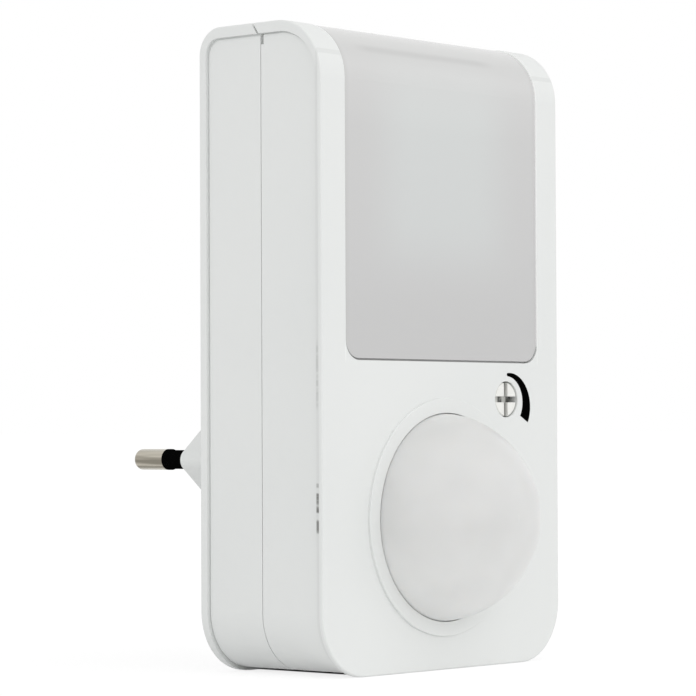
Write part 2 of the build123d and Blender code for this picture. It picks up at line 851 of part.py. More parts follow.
def pan_screw(head_radius, head_thickness, shank_radius, grip):
    """Screw with a rounded head and a cross recess; it seats on the XZ plane and points to -Y."""
    with BuildPart() as screw:
        with BuildSketch(Plane.XZ):
            Circle(head_radius)
        extrude(amount=-head_thickness)
        fillet(screw.faces().sort_by(Axis.Y)[-1].edges(), head_thickness / 3)
        with BuildSketch(Plane.XZ.offset(-head_thickness)):
            Rectangle(head_radius, recess_width)
            Rectangle(recess_width, head_radius)
        extrude(amount=head_thickness / 2, mode=Mode.SUBTRACT)
        with BuildSketch(Plane.XZ):
            Circle(shank_radius)
        extrude(amount=grip)
    return screw.part


# Carrier screw: holds the pin carrier on the post in the middle of the plug
carrier_screw_form = pan_screw(
    carrier_screw_head_radius, board_screw_head_thickness, board_screw_radius, carrier_screw_grip
)
with BuildPart() as carrier_screw:
    with Locations(Location((0, at_y(shoulder_back_depth + carrier_thickness), 0), (0, 0, 180))):
        add(carrier_screw_form)
carrier_screw.part.label = "carrier_screw"
export_step(carrier_screw.part, "parts/carrier_screw.step")

# Housing screws: four from the back, seated at the bottom of their pockets
housing_screw_form = pan_screw(
    screw_head_radius,
    screw_head_thickness,
    screw_radius,
    parting_depth - screw_pocket_depth + screw_grip - seam,
)
screw_seats = [
    (side * column_x, at_y(screw_pocket_depth), at_z(height))
    for side in (-1, 1)
    for height in (column_low, column_high)
]
with BuildPart() as housing_screws:
    with Locations(*screw_seats):
        add(housing_screw_form)
housing_screws.part.label = "housing_screws"
export_step(housing_screws.part, "parts/housing_screws.step")

# Control board: screwed from behind to the bulkhead's posts
board_screw_form = pan_screw(
    board_screw_head_radius,
    board_screw_head_thickness,
    board_screw_radius,
    board_thickness + board_screw_grip - seam,
)
with BuildPart() as control_board:
    control_board_middle = (control_board_low + control_board_high) / 2
    with BuildSketch(facing_plane(board_rear_depth, 0, control_board_middle)) as outline:
        Rectangle(2 * control_board_half, control_board_high - control_board_low)
        chamfer(outline.vertices(), board_thickness)
    extrude(amount=board_thickness)
    with BuildSketch(facing_plane(board_rear_depth)):
        with Locations(*board_posts):
            Circle(board_screw_radius + board_hole_gap)
    extrude(amount=board_thickness, mode=Mode.SUBTRACT)
control_board.part.label = "control_board"
export_step(control_board.part, "parts/control_board.step")

with BuildPart() as board_screws:
    with Locations(*[(x, at_y(board_rear_depth), z) for x, z in board_posts]):
        add(board_screw_form)
board_screws.part.label = "board_screws"
export_step(board_screws.part, "parts/board_screws.step")

# Reflector: flared tray behind the diffuser, with four stakes melted over the LED board
mouth_middle = (reflector_mouth_low + reflector_mouth_high) / 2
base_middle = (reflector_base_low + reflector_base_high) / 2


def flared_block(back_depth, margin):
    """Tapered block from the reflector's base to its mouth, grown by a margin."""
    with BuildPart() as block:
        with BuildSketch(facing_plane(back_depth, 0, base_middle)):
            Rectangle(
                2 * (reflector_base_half + margin),
                reflector_base_high - reflector_base_low + 2 * margin,
            )
        with BuildSketch(facing_plane(bulkhead_back_depth, 0, mouth_middle)):
            Rectangle(
                2 * (reflector_mouth_half + margin),
                reflector_mouth_high - reflector_mouth_low + 2 * margin,
            )
        loft()
    return block.part


reflector_flange_low = window_bottom - diffuser_rim - reflector_lap
reflector_flange_high = reflector_mouth_high + reflector_wall
tray_outside = flared_block(board_front_depth, reflector_wall)
tray_inside = flared_block(board_front_depth + reflector_wall, 0)
with BuildPart() as reflector:
    add(tray_outside)
    flange_middle_height = (reflector_flange_low + reflector_flange_high) / 2
    with BuildSketch(facing_plane(bulkhead_back_depth - reflector_flange, 0, flange_middle_height)):
        Rectangle(
            2 * (window_half + diffuser_rim + reflector_lap),
            reflector_flange_high - reflector_flange_low,
        )
    extrude(amount=reflector_flange)
    add(tray_inside, mode=Mode.SUBTRACT)
    with BuildSketch(facing_plane(board_front_depth, 0, led_board_middle)):
        with GridLocations(led_column_spacing, led_row_spacing, led_columns, led_rows):
            Rectangle(led_window, led_window)
    extrude(amount=reflector_wall, mode=Mode.SUBTRACT)
    with BuildSketch(facing_plane(board_rear_depth, 0, led_board_middle)):
        with GridLocations(2 * stake_x, stake_spread, 2, 2):
            Circle(stake_radius)
    extrude(amount=board_thickness)
    with BuildSketch(facing_plane(board_rear_depth - stake_head_thickness, 0, led_board_middle)):
        with GridLocations(2 * stake_x, stake_spread, 2, 2):
            Circle(stake_head_radius)
    extrude(amount=stake_head_thickness)
reflector.part.label = "reflector"
export_step(reflector.part, "parts/reflector.step")

# LED board and its LEDs
with BuildPart() as led_board:
    with BuildSketch(facing_plane(board_rear_depth, 0, led_board_middle)):
        Rectangle(2 * led_board_half, led_board_high - led_board_low)
        with GridLocations(2 * stake_x, stake_spread, 2, 2):
            Circle(stake_radius, mode=Mode.SUBTRACT)
    extrude(amount=board_thickness)
led_board.part.label = "led_board"
export_step(led_board.part, "parts/led_board.step")

with BuildPart() as leds:
    with BuildSketch(facing_plane(board_front_depth, 0, led_board_middle)):
        with GridLocations(led_column_spacing, led_row_spacing, led_columns, led_rows):
            Rectangle(led_size, led_size)
    extrude(amount=led_thickness)
leds.part.label = "leds"
export_step(leds.part, "parts/leds.step")

# Motion sensor: metal can on three leads, with a dark filter window, inside a white shroud
sensor_base_depth = board_front_depth + sensor_stand
sensor_top_depth = sensor_base_depth + sensor_can_height
with BuildPart() as motion_sensor:
    with BuildSketch(facing_plane(sensor_base_depth, 0, lens_height)):
        Circle(sensor_flange_radius)
    extrude(amount=sensor_flange_thickness)
    with BuildSketch(facing_plane(sensor_base_depth, 0, lens_height)):
        Circle(sensor_can_radius)
    extrude(amount=sensor_can_height)
    with BuildSketch(facing_plane(sensor_top_depth - sensor_window_thickness, 0, lens_height)):
        Rectangle(sensor_window_width, sensor_window_height)
    extrude(amount=sensor_window_thickness, mode=Mode.SUBTRACT)
    with BuildSketch(facing_plane(board_front_depth, 0, lens_height)):
        with PolarLocations(lead_circle_radius, 3, 45, 270):
            Circle(lead_radius)
    extrude(amount=sensor_stand)
motion_sensor.part.label = "motion_sensor"
export_step(motion_sensor.part, "parts/motion_sensor.step")

with BuildPart() as sensor_window:
    with BuildSketch(facing_plane(sensor_top_depth - sensor_window_thickness, 0, lens_height)):
        Rectangle(sensor_window_width, sensor_window_height)
    extrude(amount=sensor_window_thickness)
sensor_window.part.label = "sensor_window"
export_step(sensor_window.part, "parts/sensor_window.step")

with BuildPart() as sensor_shroud:
    with BuildSketch(facing_plane(board_front_depth, 0, lens_height)):
        Circle(shroud_radius)
        Circle(sensor_flange_radius + shroud_gap, mode=Mode.SUBTRACT)
    extrude(amount=shroud_height)
sensor_shroud.part.label = "sensor_shroud"
export_step(sensor_shroud.part, "parts/sensor_shroud.step")

# Light cell that tells day from night: a flat-sided disc on two leads
cell_height = lens_height + cell_rise
with BuildPart() as light_cell:
    with BuildSketch(facing_plane(board_front_depth + cell_stand, cell_x, cell_height)):
        Circle(cell_radius)
        Rectangle(cell_flat_width, 2 * cell_radius, mode=Mode.INTERSECT)
    extrude(amount=cell_thickness)
    with BuildSketch(facing_plane(board_front_depth, cell_x, cell_height)):
        with GridLocations(0, cell_lead_spacing, 1, 2):
            Circle(lead_radius)
    extrude(amount=cell_stand)
light_cell.part.label = "light_cell"
export_step(light_cell.part, "parts/light_cell.step")

# Control chip: flat package with a row of legs along each long side
with BuildPart() as control_chip:
    with BuildSketch(facing_plane(board_front_depth + chip_leg_thickness / 2, 0, chip_height)):
        Rectangle(chip_length, chip_width)
    extrude(amount=chip_thickness)
    with BuildSketch(facing_plane(board_front_depth, 0, chip_height)):
        with GridLocations(chip_leg_spacing, chip_width + chip_leg_reach, chip_legs, 2):
            Rectangle(chip_leg_thickness, chip_leg_reach)
    extrude(amount=chip_thickness / 2)
control_chip.part.label = "control_chip"
export_step(control_chip.part, "parts/control_chip.step")

# Power parts behind the control board: the mains is dropped, rectified and smoothed here
film_capacitor_x = film_capacitor_inset - control_board_half
with BuildPart() as film_capacitor:
    with BuildSketch(
        facing_plane(board_rear_depth - film_capacitor_rise, film_capacitor_x, film_capacitor_height)
    ):
        RectangleRounded(film_capacitor_length, film_capacitor_width, film_capacitor_round)
    extrude(amount=film_capacitor_rise)
film_capacitor.part.label = "film_capacitor"
export_step(film_capacitor.part, "parts/film_capacitor.step")


def can_capacitor(x, height, radius, rise):
    """Electrolytic can: a pressed groove near its foot and a rounded rim at its top."""
    with BuildPart() as can:
        with BuildSketch(facing_plane(board_rear_depth - rise, x, height)):
            Circle(radius)
        extrude(amount=rise)
        fillet(can.faces().sort_by(Axis.Y)[-1].edges(), radius / 6)
        with BuildSketch(facing_plane(board_rear_depth - radius / 2, x, height)):
            Circle(radius)
            Circle(radius - radius / 10, mode=Mode.SUBTRACT)
        extrude(amount=-radius / 6, mode=Mode.SUBTRACT)
    return can.part


smoothing_x = film_capacitor_x + film_capacitor_length / 2 + smoothing_gap + smoothing_radius
smoothing_capacitor = can_capacitor(smoothing_x, smoothing_height, smoothing_radius, smoothing_rise)
smoothing_capacitor.label = "smoothing_capacitor"
export_step(smoothing_capacitor, "parts/smoothing_capacitor.step")
filter_x = control_board_half - filter_inset
filter_capacitor = can_capacitor(filter_x, filter_height, filter_radius, filter_rise)
filter_capacitor.label = "filter_capacitor"
export_step(filter_capacitor, "parts/filter_capacitor.step")

rectifier_x = control_board_half - rectifier_inset
with BuildPart() as bridge_rectifier:
    with BuildSketch(facing_plane(board_rear_depth - rectifier_rise, rectifier_x, rectifier_height)):
        Rectangle(rectifier_length, rectifier_width)
    extrude(amount=rectifier_rise)
bridge_rectifier.part.label = "bridge_rectifier"
export_step(bridge_rectifier.part, "parts/bridge_rectifier.step")

varistor_x = varistor_inset - control_board_half
varistor_depth = board_rear_depth - varistor_stand - varistor_radius
with BuildPart() as varistor:
    with BuildSketch(Plane.YZ.offset(varistor_x)):
        with Locations((at_y(varistor_depth), at_z(varistor_height))):
            Circle(varistor_radius)
    extrude(amount=varistor_thickness / 2, both=True)
    fillet(varistor.edges().filter_by(GeomType.CIRCLE), varistor_thickness / 3)
    with BuildSketch(facing_plane(varistor_depth, varistor_x, varistor_height)):
        with GridLocations(0, varistor_radius, 1, 2):
            Circle(fuse_lead_radius)
    extrude(amount=varistor_stand + varistor_radius)
varistor.part.label = "varistor"
export_step(varistor.part, "parts/varistor.step")

fuse_x = fuse_inset - control_board_half
fuse_height = control_board_high - fuse_drop
fuse_depth = board_rear_depth - fuse_radius - fuse_lead_radius
with BuildPart() as fuse_resistor:
    with BuildLine() as lead:
        FilletPolyline(
            (fuse_x - fuse_length / 2 - fuse_lead_reach, at_y(board_rear_depth), at_z(fuse_height)),
            (fuse_x - fuse_length / 2 - fuse_lead_reach, at_y(fuse_depth), at_z(fuse_height)),
            (fuse_x + fuse_length / 2 + fuse_lead_reach, at_y(fuse_depth), at_z(fuse_height)),
            (fuse_x + fuse_length / 2 + fuse_lead_reach, at_y(board_rear_depth), at_z(fuse_height)),
            radius=2 * fuse_lead_radius,
        )
    with BuildSketch(
        Plane(
            origin=(fuse_x - fuse_length / 2 - fuse_lead_reach, at_y(board_rear_depth), at_z(fuse_height)),
            z_dir=(0, 1, 0),
        )
    ):
        Circle(fuse_lead_radius)
    sweep(path=lead.wire())
    with BuildSketch(Plane.YZ.offset(fuse_x)):
        with Locations((at_y(fuse_depth), at_z(fuse_height))):
            Circle(fuse_radius)
    extrude(amount=fuse_length / 2, both=True)
fuse_resistor.part.label = "fuse_resistor"
export_step(fuse_resistor.part, "parts/fuse_resistor.step")

# Two short jumpers that feed the LED board from the control board
with BuildPart() as link_wires:
    for side in (-1, 1):
        jumper_x = link_wire_x + side * link_wire_spacing / 2
        low_z = at_z(control_board_high - link_wire_inset)
        high_z = at_z(led_board_low + link_wire_inset)
        with BuildLine() as route:
            FilletPolyline(
                (jumper_x, at_y(board_rear_depth), low_z),
                (jumper_x, at_y(board_rear_depth - link_wire_rise), low_z),
                (jumper_x, at_y(board_rear_depth - link_wire_rise), high_z),
                (jumper_x, at_y(board_rear_depth), high_z),
                radius=link_wire_bend,
            )
        with BuildSketch(Plane(origin=(jumper_x, at_y(board_rear_depth), low_z), z_dir=(0, 1, 0))):
            Circle(link_wire_radius)
        sweep(path=route.wire())
link_wires.part.label = "link_wires"
export_step(link_wires.part, "parts/link_wires.step")
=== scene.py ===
import math
import bpy
from mathutils import Matrix, Vector


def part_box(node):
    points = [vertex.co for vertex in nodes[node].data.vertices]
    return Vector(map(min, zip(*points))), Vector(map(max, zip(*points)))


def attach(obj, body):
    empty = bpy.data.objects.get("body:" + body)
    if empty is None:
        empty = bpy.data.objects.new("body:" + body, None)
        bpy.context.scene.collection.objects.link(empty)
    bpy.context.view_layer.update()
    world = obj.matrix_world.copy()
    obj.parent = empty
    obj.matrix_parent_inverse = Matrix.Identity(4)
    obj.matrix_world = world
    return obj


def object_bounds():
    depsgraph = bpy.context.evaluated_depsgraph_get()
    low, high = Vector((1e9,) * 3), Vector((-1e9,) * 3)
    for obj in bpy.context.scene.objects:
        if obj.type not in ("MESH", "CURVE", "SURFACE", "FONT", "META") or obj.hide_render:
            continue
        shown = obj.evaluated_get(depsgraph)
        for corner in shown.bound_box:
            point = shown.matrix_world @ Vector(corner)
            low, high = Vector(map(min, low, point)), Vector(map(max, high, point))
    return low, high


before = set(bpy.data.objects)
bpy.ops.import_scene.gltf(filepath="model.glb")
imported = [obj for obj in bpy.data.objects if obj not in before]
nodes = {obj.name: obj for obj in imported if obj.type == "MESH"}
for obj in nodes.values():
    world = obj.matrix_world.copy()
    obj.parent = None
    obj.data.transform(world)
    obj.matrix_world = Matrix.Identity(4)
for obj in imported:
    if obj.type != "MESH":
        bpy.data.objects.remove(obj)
cad_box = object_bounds()


# ---------------------------------------------------------------------------------------------
# Rear housing: back shell with the hollow plug, injection moulded in satin white plastic. A very
# fine spark-eroded grain breaks up the gloss, and the white is a little cloudy.
# ---------------------------------------------------------------------------------------------
MM = 0.001


class Field:
    """A value that changes over a surface. Sums and products of fields add Math nodes."""

    def __init__(self, tree, socket=None):
        self.tree = tree
        self.socket = socket

    def node(self, kind, inputs, output=0, stops=None, **settings):
        """Adds any node to the same material: settings first, then values or links."""
        made = self.tree.nodes.new(kind)
        for name, value in settings.items():
            setattr(made, name, value)
        if stops:
            ramp = made.color_ramp
            while len(ramp.elements) < len(stops):
                ramp.elements.new(0.5)
            for element, (place, colour) in zip(ramp.elements, stops):
                element.position = place
                element.color = (*colour, 1)
        for name, value in inputs.items():
            if isinstance(value, Field):
                self.tree.links.new(value.socket, made.inputs[name])
            else:
                made.inputs[name].default_value = value
        return Field(self.tree, made.outputs[output])

    def math(self, operation, *values):
        return self.node("ShaderNodeMath", dict(enumerate(values)), operation=operation)

    def __add__(self, other):
        return self.math("ADD", self, other)

    def __sub__(self, other):
        return self.math("SUBTRACT", self, other)

    def __rsub__(self, other):
        return self.math("SUBTRACT", other, self)

    def __mul__(self, other):
        return self.math("MULTIPLY", self, other)

    def __truediv__(self, other):
        return self.math("DIVIDE", self, other)

    def __abs__(self):
        return self.math("ABSOLUTE", self)

    __radd__ = __add__
    __rmul__ = __mul__

    def scaled(self, factors):
        """This vector or colour with each of its three parts multiplied."""
        return self.node("ShaderNodeVectorMath", {0: self, 1: factors}, operation="MULTIPLY")

    def rise(self, low, high):
        """0 below low, 1 above high, smooth between them."""
        return self.node(
            "ShaderNodeMapRange",
            {"Value": self, "From Min": low, "From Max": high},
            interpolation_type="SMOOTHSTEP",
        )

    def band(self, middle, half, soft):
        """1 within half of a middle value, fading out over soft."""
        return 1 - abs(self - middle).rise(half, half + soft)

    def noise(self, scale, detail=2.0, stretch=(1, 1, 1)):
        """Noise about 0.5 on this vector, at so many waves in a metre."""
        waves = {"Vector": self.scaled(stretch), "Scale": scale, "Detail": detail}
        return self.node("ShaderNodeTexNoise", waves)

    def mix(self, one, other):
        """A colour between one and other, by this value."""
        return self.node(
            "ShaderNodeMix",
            {"Factor": self, 6: pigment(one), 7: pigment(other)},
            output=2,
            data_type="RGBA",
        )


def pigment(colour):
    """A colour with its alpha, or a field as it is."""
    return colour if isinstance(colour, Field) else (*colour, 1)


def times(colour, factor):
    """A colour made so many times brighter."""
    return tuple(factor * part for part in colour)


class Finish:
    """A new material with its Principled shader; place is the surface's own coordinates."""

    def __init__(self, name):
        self.material = bpy.data.materials.new(name)
        self.material.use_nodes = True
        tree = self.material.node_tree
        self.shader = tree.nodes["Principled BSDF"]
        self.place = Field(tree).node("ShaderNodeTexCoord", {}, output="Object")
        self.x, self.y, self.z = (
            self.place.node("ShaderNodeSeparateXYZ", {0: self.place}, output=axis) for axis in "XYZ"
        )

    def set(self, name, value):
        """Gives a socket of the shader a number, a colour or a field."""
        socket = self.shader.inputs[name]
        if isinstance(value, Field):
            value.tree.links.new(value.socket, socket)
        else:
            socket.default_value = pigment(value) if isinstance(value, tuple) else value

    def relief(self, height, depth):
        """Fine relief: a height field from 0 to 1, so many metres deep."""
        bump = height.node("ShaderNodeBump", {"Height": height, "Distance": depth, "Strength": 1.0})
        self.set("Normal", bump)

    def coat(self, *names):
        """Puts the material on CAD nodes."""
        for name in names:
            for slot in nodes[name].material_slots:
                slot.material = self.material


housing_white = (0.812, 0.826, 0.815)
housing_shade = (0.790, 0.806, 0.796)
housing_roughness = 0.42


def white_moulding(name):
    """Satin white moulded plastic with fine grain and the faintest cloudiness."""
    finish = Finish(name)
    finish.white = finish.place.noise(18.0).rise(0.35, 0.7).mix(housing_white, housing_shade)
    finish.set("Base Color", finish.white)
    grain = finish.place.noise(3200.0, 3.0)
    finish.set("Roughness", grain * 0.16 + (housing_roughness - 0.08))
    finish.relief(grain, 0.006 * MM)
    return finish


white_moulding("rear_housing_white").coat("rear_housing")


# ---------------------------------------------------------------------------------------------
# Plug pins: turned brass with a dull nickel plating. Dark lengthwise streaks on them are painted
# reflections, and lighter bands along the top and the bottom are painted highlights. Each has a
# moulded black sleeve with a small collar, and a black block clamps both in the plug.
# ---------------------------------------------------------------------------------------------
pin_nickel = Finish("pin_nickel")
# dark lengthwise streaks on the plating: painted reflections
pin_painted_reflection_streaks = pin_nickel.place.noise(1100.0, 3.0, stretch=(0.1, 0.03, 1)).rise(0.36, 0.6)
pin_marks = pin_nickel.place.noise(300.0, 4.0, stretch=(0.4, 30.0, 0.4))
# lighter bands along the top and the bottom of each pin: painted highlights
pin_painted_highlight_bands = abs(pin_nickel.z).rise(1.4 * MM, 1.95 * MM)
plating_dull = (0.52, 0.487, 0.416)
plating_painted_dark_reflection = (0.24, 0.221, 0.182)
plating_painted_highlight = (0.58, 0.56, 0.50)
pin_colour = pin_painted_reflection_streaks.mix(plating_dull, plating_painted_dark_reflection)
pin_nickel.set("Base Color", pin_painted_highlight_bands.mix(pin_colour, plating_painted_highlight))
pin_nickel.set("Metallic", 1.0)
pin_nickel.set("Roughness", pin_marks * 0.2 + 0.22)
pin_nickel.relief(pin_marks, 0.008 * MM)
pin_nickel.coat("live_pin", "neutral_pin")


def black_moulding(name, roughness, gloss=0.5, black=0.010):
    """Smooth black plastic with a slight cloudy gloss."""
    finish = Finish(name)
    cloud = finish.place.noise(700.0)
    finish.set("Base Color", cloud.mix((black, black, black), times((1.6, 1.6, 1.6), black)))
    finish.set("Roughness", cloud * 0.12 + (roughness - 0.06))
    finish.set("Specular IOR Level", gloss)
    return finish


sleeve = black_moulding("sleeve_black", 0.6, gloss=0.0, black=0.002)
sleeve.coat("live_pin_sleeve", "neutral_pin_sleeve")
black_moulding("carrier_black", 0.5).coat("pin_carrier")


# ---------------------------------------------------------------------------------------------
# Screws: zinc-plated steel, slightly blotchy where the plating took unevenly. One holds the pin
# carrier in the plug, three the control board, and four come in from the back.
# ---------------------------------------------------------------------------------------------
def zinc(name):
    """Bright zinc plating with a faint blotch."""
    finish = Finish(name)
    blotch = finish.place.noise(900.0, 4.0)
    finish.set("Base Color", blotch.mix((0.55, 0.56, 0.58), (0.68, 0.68, 0.66)))
    finish.set("Metallic", 1.0)
    finish.set("Roughness", blotch * 0.3 + 0.2)
    return finish


zinc("screw_zinc").coat("carrier_screw", "housing_screws", "board_screws")


# ---------------------------------------------------------------------------------------------
# Wires: soft plastic insulation, brown and blue for the mains and red for the LED board. Their ends
# are soldered to the pins and the boards.
# ---------------------------------------------------------------------------------------------
def insulation(name, colour):
    """Slightly glossy soft insulation, scuffed here and there."""
    finish = Finish(name)
    scuff = finish.place.noise(1100.0, 3.0).rise(0.5, 0.8)
    finish.set("Base Color", scuff.mix(colour, tuple(0.7 * part + 0.06 for part in colour)))
    finish.set("Roughness", scuff * 0.25 + 0.35)
    return finish


insulation("live_brown", (0.15, 0.06, 0.03)).coat("live_wire")
insulation("neutral_blue", (0.03, 0.12, 0.42)).coat("neutral_wire")
insulation("link_red", (0.45, 0.03, 0.03)).coat("link_wires")


# ---------------------------------------------------------------------------------------------
# Boards and their parts: glass-fibre laminate under green lacquer with the weave just showing,
# and moulded, sleeved or dipped cases soldered to it.
# ---------------------------------------------------------------------------------------------
board_green = Finish("board_green")
lacquer = (0.02, 0.14, 0.07)


def strands(way):
    """Glass fibres side by side along one axis."""
    waves = {"Vector": board_green.place, "Scale": 500.0}
    return board_green.place.node("ShaderNodeTexWave", waves, output=1, bands_direction=way)


board_weave = (strands("X") + strands("Z")) * 0.5
board_green.set("Base Color", board_weave.mix(lacquer, times(lacquer, 1.25)))
board_green.set("Roughness", board_weave * 0.1 + 0.3)
board_green.relief(board_weave, 0.01 * MM)
board_green.coat("control_board", "led_board")


def lacquered(name, colour, roughness=0.3):
    """Glossy dipped or moulded case of an electrical part."""
    finish = Finish(name)
    cloud = finish.place.noise(600.0, 3.0)
    finish.set("Base Color", cloud.mix(colour, times(colour, 0.8)))
    finish.set("Roughness", cloud * 0.2 + (roughness - 0.1))
    return finish


lacquered("film_case_yellow", (0.6, 0.42, 0.04)).coat("film_capacitor")
lacquered("can_sleeve_dark", (0.02, 0.03, 0.07)).coat("smoothing_capacitor", "filter_capacitor")
lacquered("varistor_blue", (0.02, 0.09, 0.35)).coat("varistor")
lacquered("resistor_green", (0.1, 0.28, 0.22)).coat("fuse_resistor")
lacquered("cell_ceramic", (0.5, 0.2, 0.08)).coat("light_cell")
lacquered("led_yellow", (0.8, 0.6, 0.12)).coat("leds")
lacquered("filter_dark", (0.02, 0.02, 0.025), 0.15).coat("sensor_window")
zinc("can_zinc").coat("motion_sensor", "trimmer_cap")
black_moulding("chip_black", 0.45).coat("control_chip", "bridge_rectifier", "trimmer_body")
white_moulding("inner_white").coat("reflector", "sensor_shroud")


# ---------------------------------------------------------------------------------------------
# Front housing: middle shell in the same white. Its colour is darker in the joint right behind the
# front cover, with darker specks in it on the light's left side, most of them low down.
# ---------------------------------------------------------------------------------------------
joint_darker_grey = (0.60, 0.61, 0.60)
joint_dark_speck = (0.14, 0.14, 0.13)
joint_dark_speck_places = (  # height of the middle, half height, soft ends, strength
    (-4.4 * MM, 0.5 * MM, 0.3 * MM, 0.5),
    (-7.1 * MM, 1.5 * MM, 0.4 * MM, 0.9),
    (-11.2 * MM, 0.8 * MM, 0.6 * MM, 0.8),
    (15.0 * MM, 4.5 * MM, 2.0 * MM, 0.2),
)
cover_front = -49.4 * MM
cover_thickness = 1.0 * MM
cover_back = cover_front + cover_thickness


def darkened_joint(finish, middle, half, darkening):
    """Darker in the joint at the cover's rear edge, with darker specks on the light's left side."""
    joint = finish.y.band(middle, half, 0.1 * MM)
    clumps = finish.place.noise(500.0, 3.0, stretch=(0, 0, 1)).rise(0.35, 0.55)
    left_side = 1 - finish.x.rise(-5 * MM, 5 * MM)
    specks = sum(finish.z.band(*place) * strength for *place, strength in joint_dark_speck_places)
    darkened = (joint * darkening).mix(finish.white, joint_darker_grey)
    finish.set("Base Color", (clumps * joint * left_side * specks).mix(darkened, joint_dark_speck))


shell = white_moulding("front_housing_white")
darkened_joint(shell, cover_back + 0.65 * MM, 0.2 * MM, 0.2)
shell.coat("front_housing")


# ---------------------------------------------------------------------------------------------
# Light window: one milky grey-white pane, satin, bent over the top. It lets some light in, so it
# looks darker than the housing. Its colour is painted lighter towards the top of the bend as
# painted light and reflection, and lighter in its upper middle, where the reflector is nearest, as
# painted light. Its sides are a little darker, and a soft dark line crosses the bend, both painted
# shade.
# ---------------------------------------------------------------------------------------------
pane = Finish("window_milky")
pane_low, pane_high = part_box("light_diffuser")
upwards = (pane.z - pane_low.z) / (pane_high.z - pane_low.z)
# the pane's grey, painted lighter towards the top of the bend as painted light and reflection
pane_grey_and_painted_top_light = upwards.node(
    "ShaderNodeValToRGB",
    {"Fac": upwards},
    stops=[
        (0.00, (0.562, 0.560, 0.559)),
        (0.15, (0.563, 0.562, 0.561)),
        (0.34, (0.584, 0.583, 0.582)),
        (0.70, (0.600, 0.599, 0.596)),
        (0.81, (0.630, 0.629, 0.625)),
        (0.87, (0.643, 0.642, 0.637)),
        (0.93, (0.640, 0.640, 0.634)),
        (1.00, (0.690, 0.690, 0.682)),
    ],
)
# lighter in the upper middle of the pane: painted light
pane_painted_light = pane_grey_and_painted_top_light.scaled((1.06, 1.09, 1.085))
pane_painted_light_area = pane.x.band(0, 8 * MM, 16 * MM) * pane.z.band(52 * MM, 8 * MM, 16 * MM)
# darker sides and a soft dark line across the bend: painted shade
pane_edge = abs(pane.x).rise(25.6 * MM, 27.0 * MM)
bend_painted_shade = pane.z.band(72.85 * MM, 0.05 * MM, 1.0 * MM) * pane.x.band(-2.8 * MM, 15 * MM, 6 * MM)
pane_shade = bend_painted_shade.math("MAXIMUM", bend_painted_shade * 0.42, pane_edge * 0.3)
pane_shaded = (0.50, 0.50, 0.495)
pane.set("Base Color", pane_shade.mix(pane_painted_light_area.mix(pane_grey_and_painted_top_light, pane_painted_light), pane_shaded))
pane_grain = pane.place.noise(5200.0, 2.0)
pane.set("Roughness", pane_grain * 0.1 + 0.17)
pane.relief(pane_grain, 0.004 * MM)
pane.coat("light_diffuser")


# ---------------------------------------------------------------------------------------------
# Lens dome: thin milky polyethylene, faintly warm, with a soft half gloss. Light soaks through it.
# Inside it is moulded as many small lenses, which show only as the slightest unevenness. Its colour
# is painted lighter low down as painted light, and darker at its foot by the ring as painted shade.
# ---------------------------------------------------------------------------------------------
dome = Finish("lens_milky")
dome_low, dome_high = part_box("lens_dome")
outwards = (dome_high.y - dome.y) / (dome_high.y - dome_low.y)
dome_mottle = dome.place.noise(110.0, 1.5).rise(0.3, 0.7)
dome_up = (dome.z - dome_low.z) / (dome_high.z - dome_low.z)
# lightest at the bottom and darkest in the middle: painted light on the milky white
dome_white_and_painted_light = dome_up.node(
    "ShaderNodeValToRGB",
    {"Fac": dome_up},
    stops=[
        (0.04, (0.890, 0.888, 0.868)),
        (0.26, (0.845, 0.843, 0.823)),
        (0.46, (0.765, 0.763, 0.748)),
        (0.66, (0.745, 0.743, 0.730)),
        (0.86, (0.775, 0.773, 0.757)),
        (1.00, (0.790, 0.788, 0.770)),
    ],
)
dome_mottle_and_painted_light = dome_mottle.mix(dome_white_and_painted_light, dome_white_and_painted_light.scaled((0.955, 0.955, 0.955)))
# darker at the dome's foot by the ring: painted shade
dome_foot_painted_shade = (0.66, 0.655, 0.64)
dome.set("Base Color", outwards.rise(0.0, 0.12).mix(dome_foot_painted_shade, dome_mottle_and_painted_light))
dome.set("Subsurface Weight", 0.4)
dome.set("Subsurface Scale", 2 * MM)
dome.set("Subsurface Radius", Vector((1.0, 0.9, 0.8)))
dome.set("Roughness", dome_mottle * 0.08 + 0.28)
dome.relief(dome_mottle, 0.02 * MM)
dome.coat("lens_dome")


# ---------------------------------------------------------------------------------------------
# Front cover: white like the shells, over the front and the top, with the ring round the lens.
# A painted glow brightens the narrow gap beside the window, standing for light that soaks through
# the window's edges.
# ---------------------------------------------------------------------------------------------
window_half = 27.2 * MM  # half the width of its opening
window_foot = 17.0 * MM
cover = white_moulding("front_cover_white")
darkened_joint(cover, cover_back, 0.15 * MM, 0.3)
beside_window = cover.z.rise(window_foot, window_foot + 1 * MM)
# glow on the narrow gap beside the window: painted light
window_gap_painted_glow = abs(cover.x).band(window_half, 0.02 * MM, 0.02 * MM) * beside_window
cover.set("Emission Color", window_gap_painted_glow.mix((0, 0, 0), (0.25, 0.25, 0.25)))
cover.set("Emission Strength", 1.0)
cover.coat("front_cover")


